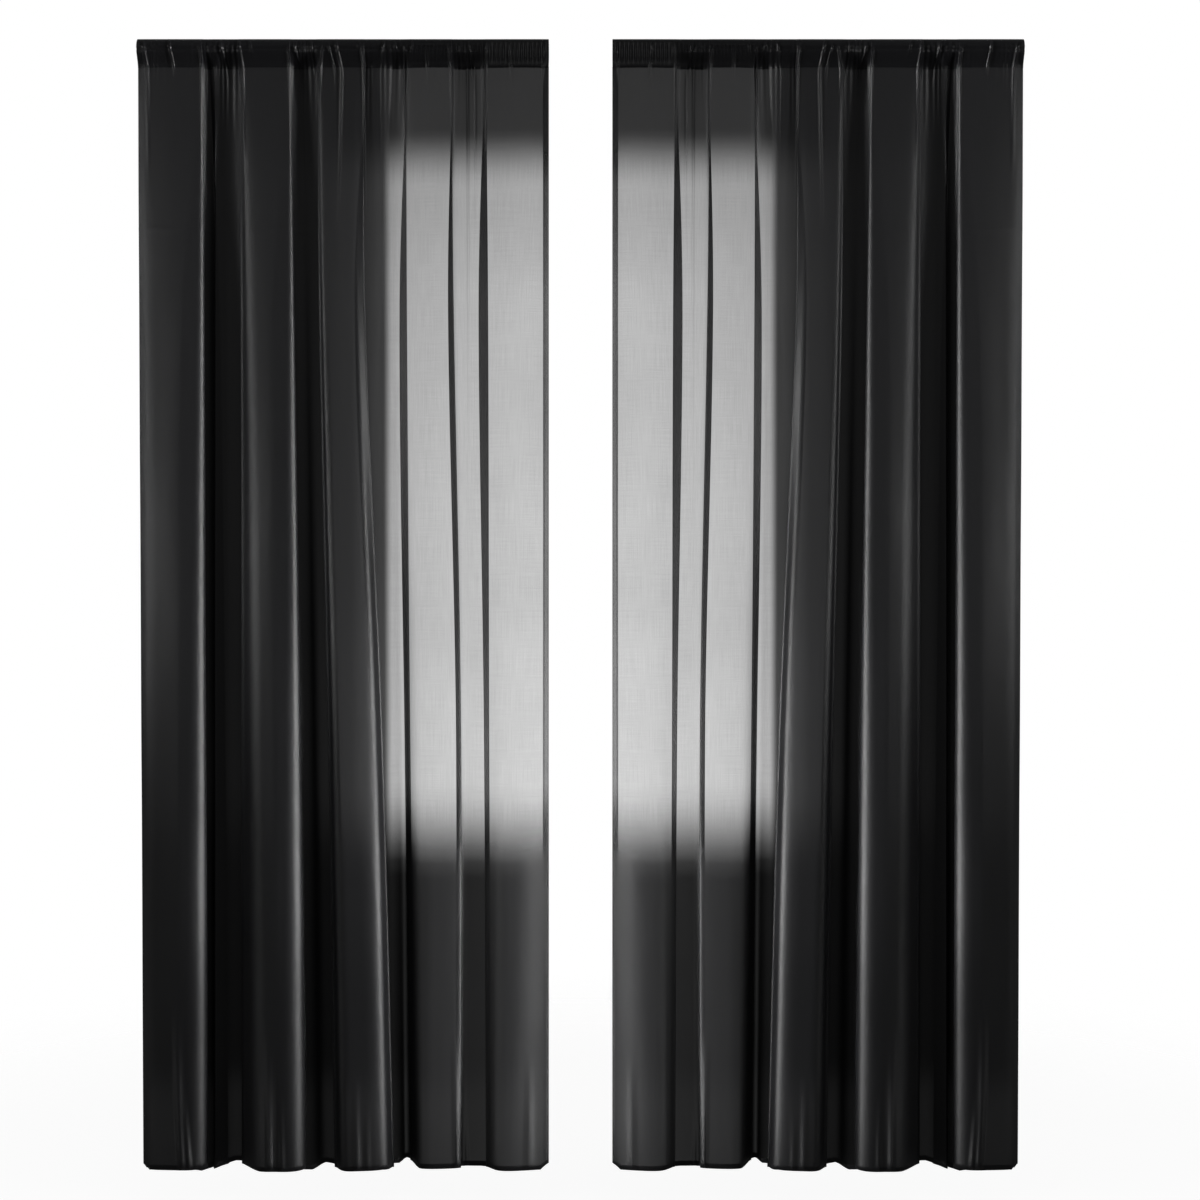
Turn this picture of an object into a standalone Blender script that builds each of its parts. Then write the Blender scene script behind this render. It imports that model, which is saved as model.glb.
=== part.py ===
"""A pair of sheer voile curtain panels, hanging still. Each is gathered on a rod pocket along its
top and falls in soft, uneven folds. Metres, +Z up, the front towards -Y. The origin is on the top
edge, midway between the panels, in the plane that the folds swing about."""
import math
from collections import namedtuple

import bpy

# Driving sizes of the pair
DROP = 2.134  # top edge of the pocket to the lowest point of the bottom edge
INNER_EDGE = 0.0605  # half of the open gap between the two panels
HUNG_WIDTH = 0.778  # one panel's width as it hangs, at the heading
POCKET_HEIGHT = 0.055  # top edge to the line of stitches that closes the pocket
CLOTH = 0.0012  # thickness of the sheet
SEWN_GAP = 0.00036  # clearance between the pocket and the panel sewn to it

# The pocket's walls stand round a 25 mm rod
ROD_RADIUS = 0.0125
ROD_CLEARANCE = 0.0025
SEAM_HALF = 0.0030  # half of the seam's width where the front and back walls meet
GATHER_LIFT = 0.35  # share of a gather's depth that shows round the rod

# The bottom corners are turned up a little by the two hems that meet there
CORNER_RISE = 0.011
CORNER_WIDTH = 0.013

# The fold table gives each fold's place as seen from straight in front of the pair's middle
SEEN_FROM = 3.8

# Distances below the top edge at which the fold table gives the folds
STATIONS = (POCKET_HEIGHT, 0.50, 1.30, DROP)
PANEL_ROWS = 9
ROW_CROWDING = 1.25  # more than 1 brings the rows closer together near the heading
TURN_AT_HEADING = 0.15  # share of a fold's turn that it has where it leaves the pocket
TURN_GROWS_OVER = 0.55  # distance below the heading at which the turn is whole
MM = 0.001

# One row for each fold edge of the left panel, from its outer side edge to its inner one, in
# millimetres. "across" is the distance from the outer side edge and "forward" how far the edge
# stands in front of the middle plane (below nothing is behind it), both at the four stations:
# heading, shoulder, knee and hem. "reach" is how far a rounded edge's rounding goes. "turn" is how
# far apart the two layers lie where the cloth doubles back on itself, more than nothing where it
# goes behind itself and less where it comes back in front.
Fold = namedtuple("Fold", "name across forward reach turn")
FOLDS = (
    Fold("outer_edge", (0, 2, 6, 10), (2, 3, 3, 2), 0, 0),
    Fold("a_shoulder", (17, 18, 20, 22), (6, 13, 18, 20), 12, 0),
    Fold("a_crest", (69, 71, 73, 75), (8, 20, 27, 30), 28, 0),
    Fold("a_ridge", (122, 123, 127, 132), (7, 18, 25, 27), 0, 8),
    Fold("a_tuck", (125, 83, 75, 77), (1, 6, 10, 12), 0, 8),
    Fold("ab_flank", (129, 118, 117, 120), (-3, -9, -17, -24), 16, 0),
    Fold("ab_pleat_right", (136, 154, 165, 171), (-8, -26, -42, -50), 0, -6),
    Fold("ab_pleat_left", (148, 144, 143, 143), (4, -12, -24, -30), 0, -6),
    Fold("ab_valley", (173, 177, 182, 185), (-8, -22, -36, -43), 12, 0),
    Fold("b_tuck", (191, 215, 225, 230), (-4, -12, -20, -24), 0, -8),
    Fold("b_left", (194, 194, 195, 196), (3, -6, -13, -17), 0, -6),
    Fold("b_shoulder", (200, 209, 220, 228), (7, 16, 26, 32), 14, 0),
    Fold("b_crest", (244, 248, 257, 266), (8, 22, 34, 40), 22, 0),
    Fold("b_ridge", (289, 296, 308, 318), (7, 18, 28, 34), 0, 8),
    Fold("b_tuck_back", (293, 254, 254, 262), (1, 6, 13, 18), 0, 8),
    Fold("bc_flank", (303, 309, 323, 333), (-6, -3, 0, 3), 12, 0),
    Fold("bc_valley", (323, 330, 343, 354), (-8, -16, -25, -30), 10, 0),
    Fold("c_tuck", (338, 358, 380, 396), (-5, -10, -16, -20), 0, -8),
    Fold("c_left", (341, 342, 359, 372), (3, 1, 0, 0), 0, -6),
    Fold("c_shoulder", (347, 351, 370, 388), (7, 16, 27, 34), 13, 0),
    Fold("c_crest", (391, 396, 422, 445), (8, 22, 34, 41), 20, 0),
    Fold("c_ridge", (428, 430, 463, 485), (6, 4, -6, -14), 0, 5),
    Fold("c_tuck_back", (431, 410, 441, 461), (0, -3, -14, -22), 0, 5),
    Fold("cd_minor_ridge", (458, 461, 481, 496), (4, -8, -30, -44), 8, 0),
    Fold("cd_valley", (492, 494, 503, 508), (-8, -22, -45, -60), 7, 0),
    Fold("d_tuck", (508, 518, 524, 528), (-2, -12, -26, -36), 0, -5),
    Fold("d_left", (510, 502, 509, 515), (3, -4, -20, -29), 0, -5),
    Fold("d_shoulder", (520, 518, 528, 538), (6, 8, 11, 12), 10, 0),
    Fold("d_crest", (560, 564, 579, 594), (8, 15, 20, 24), 22, 0),
    Fold("d_right", (605, 611, 624, 637), (7, 13, 16, 18), 0, 5),
    Fold("e_tuck", (607, 599, 612, 622), (1, 4, 5, 6), 0, 5),
    Fold("e_left", (615, 617, 632, 644), (-7, -6, -5, -4), 7, 0),
    Fold("e_right", (650, 655, 660, 665), (-7, -8, -7, -6), 7, 0),
    Fold("h_tuck", (658, 674, 677, 683), (-1, -2, -1, 0), 0, -5),
    Fold("h_left", (661, 659, 663, 666), (4, 5, 7, 8), 0, -5),
    Fold("h_crest", (716, 716, 717, 718), (8, 20, 31, 38), 24, 0),
    Fold("h_shoulder", (764, 764, 764, 764), (6, 17, 28, 36), 8, 0),
    Fold("inner_edge", (778, 778, 778, 778), (1, 5, 10, 14), 0, 0),
)

# The pocket's cross-section, from the front of the seam up over the rod and down behind it. "down"
# is the distance below the top edge, "opened" how far the wall has moved from the seam (0) to its
# place round the rod (1), and "side" is 1 for the front wall and -1 for the back one.
Wall = namedtuple("Wall", "down opened side")
POCKET_LOOP = (
    Wall(POCKET_HEIGHT, 0.00, 1),
    Wall(0.038, 0.62, 1),
    Wall(0.022, 1.00, 1),
    Wall(0.006, 0.80, 1),
    Wall(0.000, 0.00, 1),
    Wall(0.006, 0.80, -1),
    Wall(0.022, 1.00, -1),
    Wall(0.038, 0.62, -1),
    Wall(POCKET_HEIGHT, 0.00, -1),
)

VOILE_BLACK = (0.012, 0.012, 0.013, 1.0)
POCKET_BLACK = (0.006, 0.006, 0.007, 1.0)


def cloth_material(name, colour, roughness):
    """A plain dark cloth finish."""
    material = bpy.data.materials.new(name)
    material.use_nodes = True
    shader = material.node_tree.nodes["Principled BSDF"]
    shader.inputs["Base Color"].default_value = colour
    shader.inputs["Roughness"].default_value = roughness
    shader.inputs["Metallic"].default_value = 0.0
    return material


def at_height(values, down):
    """One of a fold's sizes at a distance below the top edge, in metres: a smooth curve through
    its four stations, a cubic between two of them with slopes taken from their neighbours."""
    last = len(STATIONS) - 1
    i = max(k for k in range(last) if k == 0 or down > STATIONS[k])
    slopes = []
    for k in (i, i + 1):
        before, after = max(k - 1, 0), min(k + 1, last)
        slopes.append((values[after] - values[before]) / (STATIONS[after] - STATIONS[before]))
    span = STATIONS[i + 1] - STATIONS[i]
    t = (down - STATIONS[i]) / span
    start = (1 + 2 * t) * (1 - t) ** 2 * values[i] + t * (1 - t) ** 2 * span * slopes[0]
    end = t * t * (3 - 2 * t) * values[i + 1] - t * t * (1 - t) * span * slopes[1]
    return (start + end) * MM


def turn_share(down):
    """How much of its turn a doubled fold has at a distance below the top edge."""
    t = min(1.0, (down - POCKET_HEIGHT) / TURN_GROWS_OVER)
    return TURN_AT_HEADING + (1 - TURN_AT_HEADING) * t * t * (3 - 2 * t)


def corners(down):
    """The corners of the panel's line at one height, as (across, forward, reach). A fold where the
    cloth doubles back has two, one for each layer."""
    points = []
    for fold in FOLDS:
        across = at_height(fold.across, down)
        forward = at_height(fold.forward, down)
        half_turn = fold.turn * MM / 2 * turn_share(down)
        if half_turn:
            points.append((across, forward + half_turn, 0.0))
            points.append((across, forward - half_turn, 0.0))
        else:
            points.append((across, forward, fold.reach * MM))
    return points


def towards(start, end, distance):
    """The point at a distance from start on the way to end, at most 45% of the way."""
    length = math.hypot(end[0] - start[0], end[1] - start[1])
    share = min(distance / length, 0.45)
    return (start[0] + share * (end[0] - start[0]), start[1] + share * (end[1] - start[1]))


def in_place(across, forward):
    """Where a point of the fold table lies: what stands further back lies further out than it
    seems."""
    from_middle = (INNER_EDGE + HUNG_WIDTH - across) * (1 - forward / SEEN_FROM)
    return (INNER_EDGE + HUNG_WIDTH - from_middle, forward)


def section(down):
    """The panel's line at one height, as (across, forward) points: straight between the corners,
    with a short flat in place of each one that is rounded."""
    points = corners(down)
    line = [points[0][:2]]
    for before, corner, after in zip(points, points[1:], points[2:]):
        if corner[2]:
            line.append(towards(corner, before, corner[2]))
            line.append(towards(corner, after, corner[2]))
        else:
            line.append(corner[:2])
    line.append(points[-1][:2])
    return [in_place(*point) for point in line]


def place(across, forward, down):
    """A point of the left panel in the object's own frame."""
    return (-(INNER_EDGE + HUNG_WIDTH) + across, -forward, -down)


def corner_rise(across, line):
    """How far the bottom edge is turned up at a distance from the panel's side edges."""
    nearest = min(across - line[0][0], line[-1][0] - across)
    return CORNER_RISE * max(0.0, 1 - nearest / CORNER_WIDTH)


def panel_surface():
    """The left panel's open surface: rows of points from the heading down to the bottom edge."""
    top = POCKET_HEIGHT + SEWN_GAP
    rows = []
    for i in range(PANEL_ROWS):
        down = top + (DROP - top) * (i / PANEL_ROWS) ** ROW_CROWDING
        rows.append([place(across, forward, down) for across, forward in section(down)])
    line = section(DROP)
    rows.append([
        place(across, forward, DROP - corner_rise(across, line)) for across, forward in line
    ])
    return rows


def pocket_surface():
    """The left pocket's open surface: a gathered tube, one loop of points for each fold edge of
    the heading, from the front of the seam up over the rod and down behind it."""
    edges = [
        in_place(at_height(fold.across, POCKET_HEIGHT), at_height(fold.forward, POCKET_HEIGHT))
        for fold in FOLDS
    ]
    deepest = min(forward for _, forward in edges)
    loops = []
    for across, forward in edges:
        round_rod = ROD_RADIUS + ROD_CLEARANCE + CLOTH + GATHER_LIFT * (forward - deepest)
        loop = []
        for wall in POCKET_LOOP:
            at_seam = forward + wall.side * SEAM_HALF
            stands = (1 - wall.opened) * at_seam + wall.opened * wall.side * round_rod
            loop.append(place(across, stands, wall.down))
        loops.append(loop)
    return loops


def grid_faces(rows, columns, closed):
    """Quads between neighbouring rows of points, facing the front of the panel and the outside of
    the pocket; closed joins each row's last point to its first."""
    faces = []
    for i in range(rows - 1):
        this, below = i * columns, (i + 1) * columns
        for j in range(columns if closed else columns - 1):
            k = (j + 1) % columns
            faces.append((this + j, below + j, below + k, this + k))
    return faces


def cloth_object(name, points, closed, offset, material, mirrored):
    """A sheet of cloth laid on a grid of points and given its thickness."""
    faces = grid_faces(len(points), len(points[0]), closed)
    vertices = [point for row in points for point in row]
    if mirrored:
        vertices = [(-x, y, z) for x, y, z in vertices]
        faces = [face[::-1] for face in faces]
    mesh = bpy.data.meshes.new(name)
    mesh.from_pydata(vertices, [], faces)
    mesh.materials.append(material)
    mesh.shade_smooth()
    sheet = bpy.data.objects.new(name, mesh)
    thickness = sheet.modifiers.new("cloth_thickness", "SOLIDIFY")
    thickness.thickness = CLOTH
    thickness.offset = offset
    return sheet


def build():
    """Both panels and both pockets, the right ones the mirror images of the left."""
    for old in list(bpy.data.objects):
        bpy.data.objects.remove(old, do_unlink=True)
    group = bpy.data.collections.new("sheer_voile_curtains")
    bpy.context.scene.collection.children.link(group)
    voile = cloth_material("voile", VOILE_BLACK, 0.55)
    gathered = cloth_material("gathered_voile", POCKET_BLACK, 0.6)
    for side, mirrored in (("left", False), ("right", True)):
        group.objects.link(
            cloth_object(side + "_panel", panel_surface(), False, 0.0, voile, mirrored)
        )
        group.objects.link(
            cloth_object(side + "_rod_pocket", pocket_surface(), True, -1.0, gathered, mirrored)
        )


build()
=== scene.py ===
"""The finished look of a pair of sheer voile curtains: two panels of thin black voile, gathered on
their rod pockets, with narrow double hems and rows of stitches. Metres, +Z up, front towards -Y."""
import math
from collections import namedtuple

import bpy
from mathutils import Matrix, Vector, noise


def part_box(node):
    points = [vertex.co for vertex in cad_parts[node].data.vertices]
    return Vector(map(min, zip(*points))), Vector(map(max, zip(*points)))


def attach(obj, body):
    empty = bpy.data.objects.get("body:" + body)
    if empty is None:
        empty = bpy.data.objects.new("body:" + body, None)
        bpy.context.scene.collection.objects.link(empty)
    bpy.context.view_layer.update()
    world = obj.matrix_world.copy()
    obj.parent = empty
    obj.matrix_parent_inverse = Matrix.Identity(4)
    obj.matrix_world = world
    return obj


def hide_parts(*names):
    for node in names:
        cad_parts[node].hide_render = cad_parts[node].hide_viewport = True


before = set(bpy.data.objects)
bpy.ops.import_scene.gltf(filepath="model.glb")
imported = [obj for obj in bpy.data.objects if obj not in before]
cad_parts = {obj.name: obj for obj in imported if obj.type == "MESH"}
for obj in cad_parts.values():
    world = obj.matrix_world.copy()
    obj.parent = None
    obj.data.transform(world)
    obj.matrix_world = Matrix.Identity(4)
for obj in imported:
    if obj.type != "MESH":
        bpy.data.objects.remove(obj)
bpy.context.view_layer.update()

# Sizes that the frame gives, in metres
PANEL_LOW, PANEL_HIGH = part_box("left_panel")
POCKET_LOW, POCKET_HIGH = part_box("left_rod_pocket")
DROP = -PANEL_LOW.z
POCKET_HEIGHT = -POCKET_LOW.z
OUTER_EDGE_X = POCKET_LOW.x
HUNG_WIDTH = POCKET_HIGH.x - POCKET_LOW.x

# The cloth as it is cut: one panel's width, and its length with the pocket and bottom turnings
FLAT_WIDTH = 1.60
POCKET_CUT_LENGTH = 0.137

# Narrow double hems, and how far one layer of voile lies from the next
SIDE_HEM = 0.0115
BOTTOM_HEM = 0.0095
HEM_ROW_STEP = BOTTOM_HEM / 4  # cut cloth between two rows of points of the turned bottom hem
LAYER = 0.0007

# The way round a double hem, from its inmost edge out to the panel's own edge: the distance from
# that edge as a share of the hem's width, and the layers it lies behind the front
HEM_WAY = (
    (0.12, 1.0),
    (0.50, 1.0),
    (0.88, 1.0),
    (1.00, 1.5),
    (0.88, 2.0),
    (0.50, 2.0),
    (0.08, 2.0),
    (0.00, 1.2),
)

# Rows of stitches: how far inside the edge or seam they run, and one stitch with its gap
SIDE_STITCHES = 0.0103
LEVEL_STITCHES = 0.0084
SEAM_STITCHES = 0.0012
STITCH_LENGTH = 0.0030
STITCHED_SHARE = 0.8  # of that length, which the thread covers
THREAD_HALF_WIDTH = 0.00032

# The bottom corners are turned up a little by the two hems that meet there
CORNER_RISE = 0.012
CORNER_WIDTH = 0.015
CORNER_HEIGHT = 0.05
CORNER_CURVE = 0.8

# The panel's top edge is caught this far up between the pocket's two walls
TUCKED_IN = 0.0025

# Distances below the top edge at which the fold table gives the folds
STATIONS = (POCKET_HEIGHT, 0.50, 1.30, DROP)
TURN_AT_HEADING = 0.06  # share of a fold's turn that it has where it leaves the pocket
TURN_GROWS_OVER = 0.50  # distance below the heading at which the turn is whole
RIDGE_AT_HEADING = 0.05  # share of a ridge's reach, which grows all the way down to the hem
RIDGE_GROWTH = 0.7  # less than 1: it grows fastest near the heading
TURN_FULLNESS = 1.25  # the voile's turns are rounder than those of the solid they lie on
REACH_FULLNESS = 1.5  # and its soft bends reach further
LONGEST_REACH = 0.45  # share of the way to the next fold edge that a bend can take up
RIDGE_DEPTH = 0.75  # how far a ridge in front rounds back, as a share of its reach
FLAT_RIDGES = {"d_right": 0.16}  # the same for the ridges that round back less
BEND_POINTS = 49  # points round each bend or turn, before the line is divided into columns
HANG_STARTS = 1.50  # distance below the top edge from which the hem's own unevenness grows
MM = 0.001

# Columns of points: how far apart they lie at the heading, and at most anywhere
HEADING_SPACING = 0.0018
CLUSTER_SPACING = 0.0012
WIDEST_SPACING = 0.0085
TURN_COLUMNS = 4  # more for a stretch that ends in a turn
EVEN_SHARE = 0.3  # of the spacing in such a stretch; the rest crowds towards the turn
POCKET_SPACING = 0.00095

# One row for each fold edge of the left panel, from its outer side edge to its inner one, in
# millimetres. "across" is the distance from the outer side edge and "forward" how far the edge
# stands in front of the middle plane, both at the four stations: heading, shoulder, knee and hem.
# "reach" is how far a bend's rounding goes. "turn" is how far apart the two layers lie where the
# cloth doubles back on itself: more than nothing where it goes behind itself, and less where it
# comes back in front. "hang" is how much lower than the rest its hem hangs. The letters in the
# names stand for the lobes, from a at the outer side to h at the inner edge.
Fold = namedtuple("Fold", "name across forward reach turn hang")
FOLDS = (
    Fold("outer_edge", (0, 2, 6, 10), (2, 3, 3, 2), 0, 0, 6),
    Fold("a_shoulder", (17, 18, 20, 22), (6, 13, 18, 20), 12, 0, 1),
    Fold("a_crest", (69, 71, 73, 75), (8, 23, 30, 32), 28, 0, -1),
    Fold("a_ridge", (123, 126, 129, 133), (7, 18, 25, 27), 46, 8, -1),
    Fold("a_tuck", (123, 83, 75, 77), (-1, 6, 10, 12), 0, 8, 0),
    Fold("ab_flank", (126, 118, 117, 120), (-6, -9, -17, -24), 16, 0, 15),
    Fold("ab_pleat_right", (136, 154, 165, 171), (-8, -26, -42, -50), 0, -6, 8),
    Fold("ab_pleat_left", (148, 144, 143, 143), (-2, -14, -24, -30), 0, -6, 13),
    Fold("ab_valley", (173, 177, 182, 185), (-8, -22, -36, -43), 12, 0, 0),
    Fold("b_tuck", (191, 215, 225, 230), (-4, -12, -20, -24), 0, -8, 0),
    Fold("b_left", (194, 194, 195, 196), (3, -6, -13, -17), 0, -6, -1),
    Fold("b_shoulder", (200, 209, 220, 228), (7, 16, 26, 32), 14, 0, 2),
    Fold("b_crest", (244, 248, 257, 266), (8, 23, 33, 39), 22, 0, 0),
    Fold("b_ridge", (289, 296, 308, 318), (7, 18, 28, 34), 42, 8, 0),
    Fold("b_tuck_back", (290, 254, 254, 262), (-1, 6, 13, 18), 0, 8, 0),
    Fold("bc_flank", (297, 309, 323, 333), (-7, -6, -7, -9), 12, 0, 9),
    Fold("bc_valley", (323, 330, 343, 354), (-8, -16, -25, -30), 10, 0, 0),
    Fold("c_tuck", (338, 358, 380, 396), (-5, -10, -16, -20), 0, -8, 8),
    Fold("c_left", (341, 342, 359, 372), (3, 1, 0, 0), 0, -6, 1),
    Fold("c_shoulder", (347, 351, 370, 388), (7, 16, 27, 34), 13, 0, 1),
    Fold("c_crest", (402, 409, 446, 471), (8, 15, 28, 32), 30, 0, -1),
    Fold("c_ridge", (428, 430, 463, 485), (6, 4, -6, -14), 0, 5, 5),
    Fold("c_tuck_back", (431, 410, 441, 461), (0, -3, -14, -22), 0, 5, 2),
    Fold("cd_minor_ridge", (458, 461, 481, 496), (4, -8, -30, -44), 8, 0, 6),
    Fold("cd_valley", (492, 494, 503, 508), (-8, -22, -45, -60), 7, 0, -1),
    Fold("d_tuck", (508, 509, 515, 526), (-2, -12, -26, -36), 0, -5, 0),
    Fold("d_left", (510, 495, 504, 515), (3, -4, -20, -29), 0, -5, -4),
    Fold("d_shoulder", (520, 518, 524, 532), (6, 8, 12, 13), 10, 0, 1),
    Fold("d_crest", (560, 556, 552, 550), (8, 15, 19, 20), 30, 0, 0),
    Fold("d_right", (594, 598, 612, 612), (7, 12, 16, 17), 48, 5, -1),
    Fold("e_tuck", (595, 587, 602, 601), (-1, 4, 4, 4), 0, 5, 0),
    Fold("e_left", (600, 602, 615, 615), (-8, -12, -14, -15), 7, 0, 3),
    Fold("e_right", (644, 640, 647, 650), (-7, -8, -7, -6), 7, 0, 1),
    Fold("h_tuck", (659, 663, 665, 669), (-1, -2, -1, 0), 0, -5, 2),
    Fold("h_left", (656, 645, 655, 659), (4, 5, 7, 8), 0, -5, -2),
    Fold("h_crest", (716, 708, 692, 682), (8, 20, 29, 33), 30, 0, 0),
    Fold("h_shoulder", (764, 752, 732, 718), (6, 17, 26, 31), 30, 0, 1),
    Fold("inner_edge", (778, 778, 778, 778), (1, 4, 7, 9), 0, 0, 3),
)

# Small gathers below the pocket and flutes above the hem, which stand out of the folds, in
# millimetres: half of each one's width, and the points it runs through, as (across, down, height)
Ripple = namedtuple("Ripple", "width points")
GATHERS = (
    Ripple(5.5, ((13, 6, 0), (15, 22, 3), (19, 60, 4), (22, 260, 0))),
    Ripple(3.5, ((61, 0, 3), (69, 50, 2.5), (71, 75, 0))),
    Ripple(2.6, ((118, 10, 0), (119, 25, 1.6), (120, 60, 1.4), (121, 300, 0))),
    Ripple(3, ((143, 12, 0), (144, 28, 1.2), (145, 60, 1.0), (139, 620, 0))),
    Ripple(4, ((155, 0, 3), (168, 50, 3), (171, 85, 0))),
    Ripple(4.5, ((193, 0, 2.5), (200, 60, 4), (202, 260, 0))),
    Ripple(4, ((212, 0, 3), (221, 40, 0))),
    Ripple(2.6, ((284, 12, 0), (285, 28, 1.6), (286, 60, 1.4), (291, 300, 0))),
    Ripple(3, ((295, 4, 0), (299, 20, 2.4), (310, 60, 2), (314, 300, 0))),
    Ripple(4, ((329, 0, 3), (333, 45, 2), (334, 70, 0))),
    Ripple(4, ((354, 12, 0), (351, 28, 2.5), (346, 60, 4), (347, 130, 0))),
    Ripple(3, ((361, 8, 0), (365, 24, 2), (374, 60, 2), (376, 110, 0))),
    Ripple(4, ((375, 0, 2.5), (387, 60, 3), (380, 420, 0))),
    Ripple(4, ((424, 0, 3), (415, 32, 0))),
    Ripple(2.8, ((424, 10, 0), (424, 26, 2), (427, 60, 2.4), (431, 380, 0))),
    Ripple(3, ((469, 0, 2.5), (458, 60, 1.4), (459, 260, 0))),
    Ripple(3, ((486, 6, 0), (490, 18, 2.4), (499, 45, 0))),
    Ripple(3.5, ((508, 10, 0), (507, 26, 3), (504, 60, 3.5), (510, 300, 0))),
    Ripple(4, ((523, 0, 3), (517, 45, 0))),
    Ripple(4, ((546, 10, 0), (548, 40, 2), (551, 100, 0))),
    Ripple(2.6, ((589, 10, 0), (589, 26, 1.8), (591, 60, 1.4), (596, 260, 0))),
    Ripple(3.0, ((622, 10, 0), (623, 26, 2), (624, 60, 4), (626, 900, 0))),
    Ripple(3.0, ((626, 0, 2.5), (632, 55, 2.5), (634, 90, 0))),
    Ripple(3.0, ((638, 40, 0), (638, 75, 4), (640, 420, 0))),
    Ripple(3.5, ((664, 6, 0), (661, 24, 2.5), (659, 60, 3), (660, 320, 0))),
    Ripple(4, ((701, 0, 3), (707, 60, 2), (709, 95, 0))),
    Ripple(4, ((772, 10, 0), (770, 30, 2.5), (766, 60, 3), (765, 90, 0))),
)
HEM_FLUTES = (
    Ripple(12, ((79, 1820, 0), (83, 2000, 5), (91, 2134, 8))),
    Ripple(7, ((92, 1980, 0), (104, 2134, 5))),
    Ripple(11, ((251, 1860, 0), (255, 2134, 7))),
    Ripple(7, ((276, 1990, 0), (279, 2134, 4))),
    Ripple(10, ((416, 1950, 0), (419, 2134, 5))),
    Ripple(8, ((437, 2020, 0), (439, 2134, 3))),
    Ripple(10, ((601, 1880, 0), (605, 2134, 5))),
    Ripple(6, ((620, 2040, 0), (623, 2134, 4))),
    Ripple(10, ((743, 1920, 0), (741, 2134, 4))),
)
RIPPLES = GATHERS + HEM_FLUTES

# Rows of points down the panel, closer together where the cloth is more gathered
RowBand = namedtuple("RowBand", "start end spacing")
ROW_BANDS = (
    RowBand(POCKET_HEIGHT - TUCKED_IN, 0.100, 0.0055),
    RowBand(0.100, 0.340, 0.0120),
    RowBand(0.340, 0.385, 0.0045),
    RowBand(0.385, 1.860, 0.0300),
    RowBand(1.860, DROP, 0.0100),
)

# A crease left by the packing's fold runs level across the panel, with a slight bow
CREASE_DOWN = 0.362
CREASE_WIDTH = 0.0045
CREASE_DEPTH = 0.0014
CREASE_BOW = 0.004
BOW_ACROSS = 18  # how fast the bow changes across the panel, per metre
BOW_SEED = (5.5, 1.2)
CREASE_FAINTEST = 0.4  # share of its depth that it has everywhere
PATCH_ACROSS = 9  # how fast the rest of its depth changes
PATCH_SEED = (2.0, 4.0)

# The slow unevenness of cloth that has hung for a while: how far it stands out, how fast it
# changes across and down the panel, per metre, and a seed of its own
Drift = namedtuple("Drift", "height across down seed")
DRIFTS = (
    Drift(0.0022, 7, 2.2, 3.1),
    Drift(0.0008, 23, 5.5, 8.7),
)
DRIFT_GROWS_OVER = 0.3  # distance below the heading at which it is whole

# The rod pocket, open as round a rod. Its walls pinch in a little below the rod.
ROD_CENTRE_DOWN = 0.0195
ROUND_ROD = 0.0160  # from the rod's axis to the wall where the gathers are flattest
GATHER_LIFT = 0.21  # share of a gather's depth that shows round the rod
WALL_APART = 0.0008  # half of the distance between the two walls at the seam
PINCH_DOWN = 0.0225
PINCH_WIDTH = 0.0022
PINCH_DEPTH = 0.0022
ARC_STEPS = 13
WALL_STEPS = 17

# Fine gathers between the main ones: low on the flat lobes, deeper in the clusters of pleats that
# sit back between them, and deep all along the pocket's back wall. The clusters are given in
# millimetres from the outer side edge.
FINE_PITCH = 0.0105
FINE_LOW = 0.0003
FINE_DEEP = 0.0008
BACK_PITCH = 0.0085
BACK_DEEP = 0.0066
SWAY = 0.8  # radians by which their phase sways in a slow wave
SWAY_LENGTH = 0.043
CLUSTERS = ((127, 192), (298, 339), (434, 455), (468, 503), (602, 620), (630, 652))
CLUSTER_EDGE = 0.004
LOW_FADES_BY = 0.10
DEEP_FADES_BY = 0.20

# How their phase and their depths vary without order: a steady value, how much it varies about
# that, how fast it changes across and down the panel, per metre, and a seed of its own
Unevenness = namedtuple("Unevenness", "steady varies across down seed")
WANDER = Unevenness(0, 3.2, 52, 4, 0.4)  # radians
LOW_UNEVEN = Unevenness(0.2, 1.8, 26, 3, 7.7)
DEEP_UNEVEN = Unevenness(0.8, 1.2, 47, 4, 3.3)
BACK_UNEVEN = Unevenness(1, 0.5, 31, 3, 9.1)

# How much light one layer lets through: across the panel, in millimetres from the outer side edge, and
# how that share changes down the panel. Both tables paint light and shade into the cloth: it is made
# clear over its inner part, between a top band and a low band, as if a bright window shone through it
# there, and nearly opaque everywhere else, as if a dark wall stood behind it.
PAINTED_LIGHT_CLEAR_AT = (
    (0, 0.003),
    (320, 0.003),
    (345, 0.006),
    (400, 0.016),
    (430, 0.030),
    (462, 0.050),
    (480, 0.480),
    (520, 0.540),
    (660, 0.590),
    (780, 0.640),
)
PAINTED_LIGHT_CLEAR_DOWN = (
    (0.000, 0.035),
    (0.170, 0.040),
    (0.290, 0.600),
    (0.520, 0.780),
    (1.000, 0.900),
    (1.400, 1.000),
    (1.580, 0.026),
    (2.134, 0.022),
)
LOW_PAINTED_CLEAR = 0.005  # painted light: the lowest part is made a little clearer, all across
LOW_FROM = 1.93
LOW_WHOLE = 2.02
FOLD_SHADE_SHARE = 0.3  # share of all that where several layers lie packed in a narrow fold: painted shade, on top of what the layers themselves give
# The pocket's clearness across it is painted light and shade: clearer over its inner part, as if light
# behind shone through, and nearly opaque over its outer part
POCKET_PAINTED_LIGHT_CLEAR_AT = ((0, 0.006), (480, 0.006), (520, 0.070), (640, 0.080), (670, 0.150), (780, 0.170))
SEAM_DENSE_FROM = 0.043  # from here down the pocket's turned-in raw edge makes it denser
SEAM_TAKES = 0.95  # share of the light that it keeps back at the seam
STEEPEST = 0.24  # cloth seen more nearly edge on than this gets no denser

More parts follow.
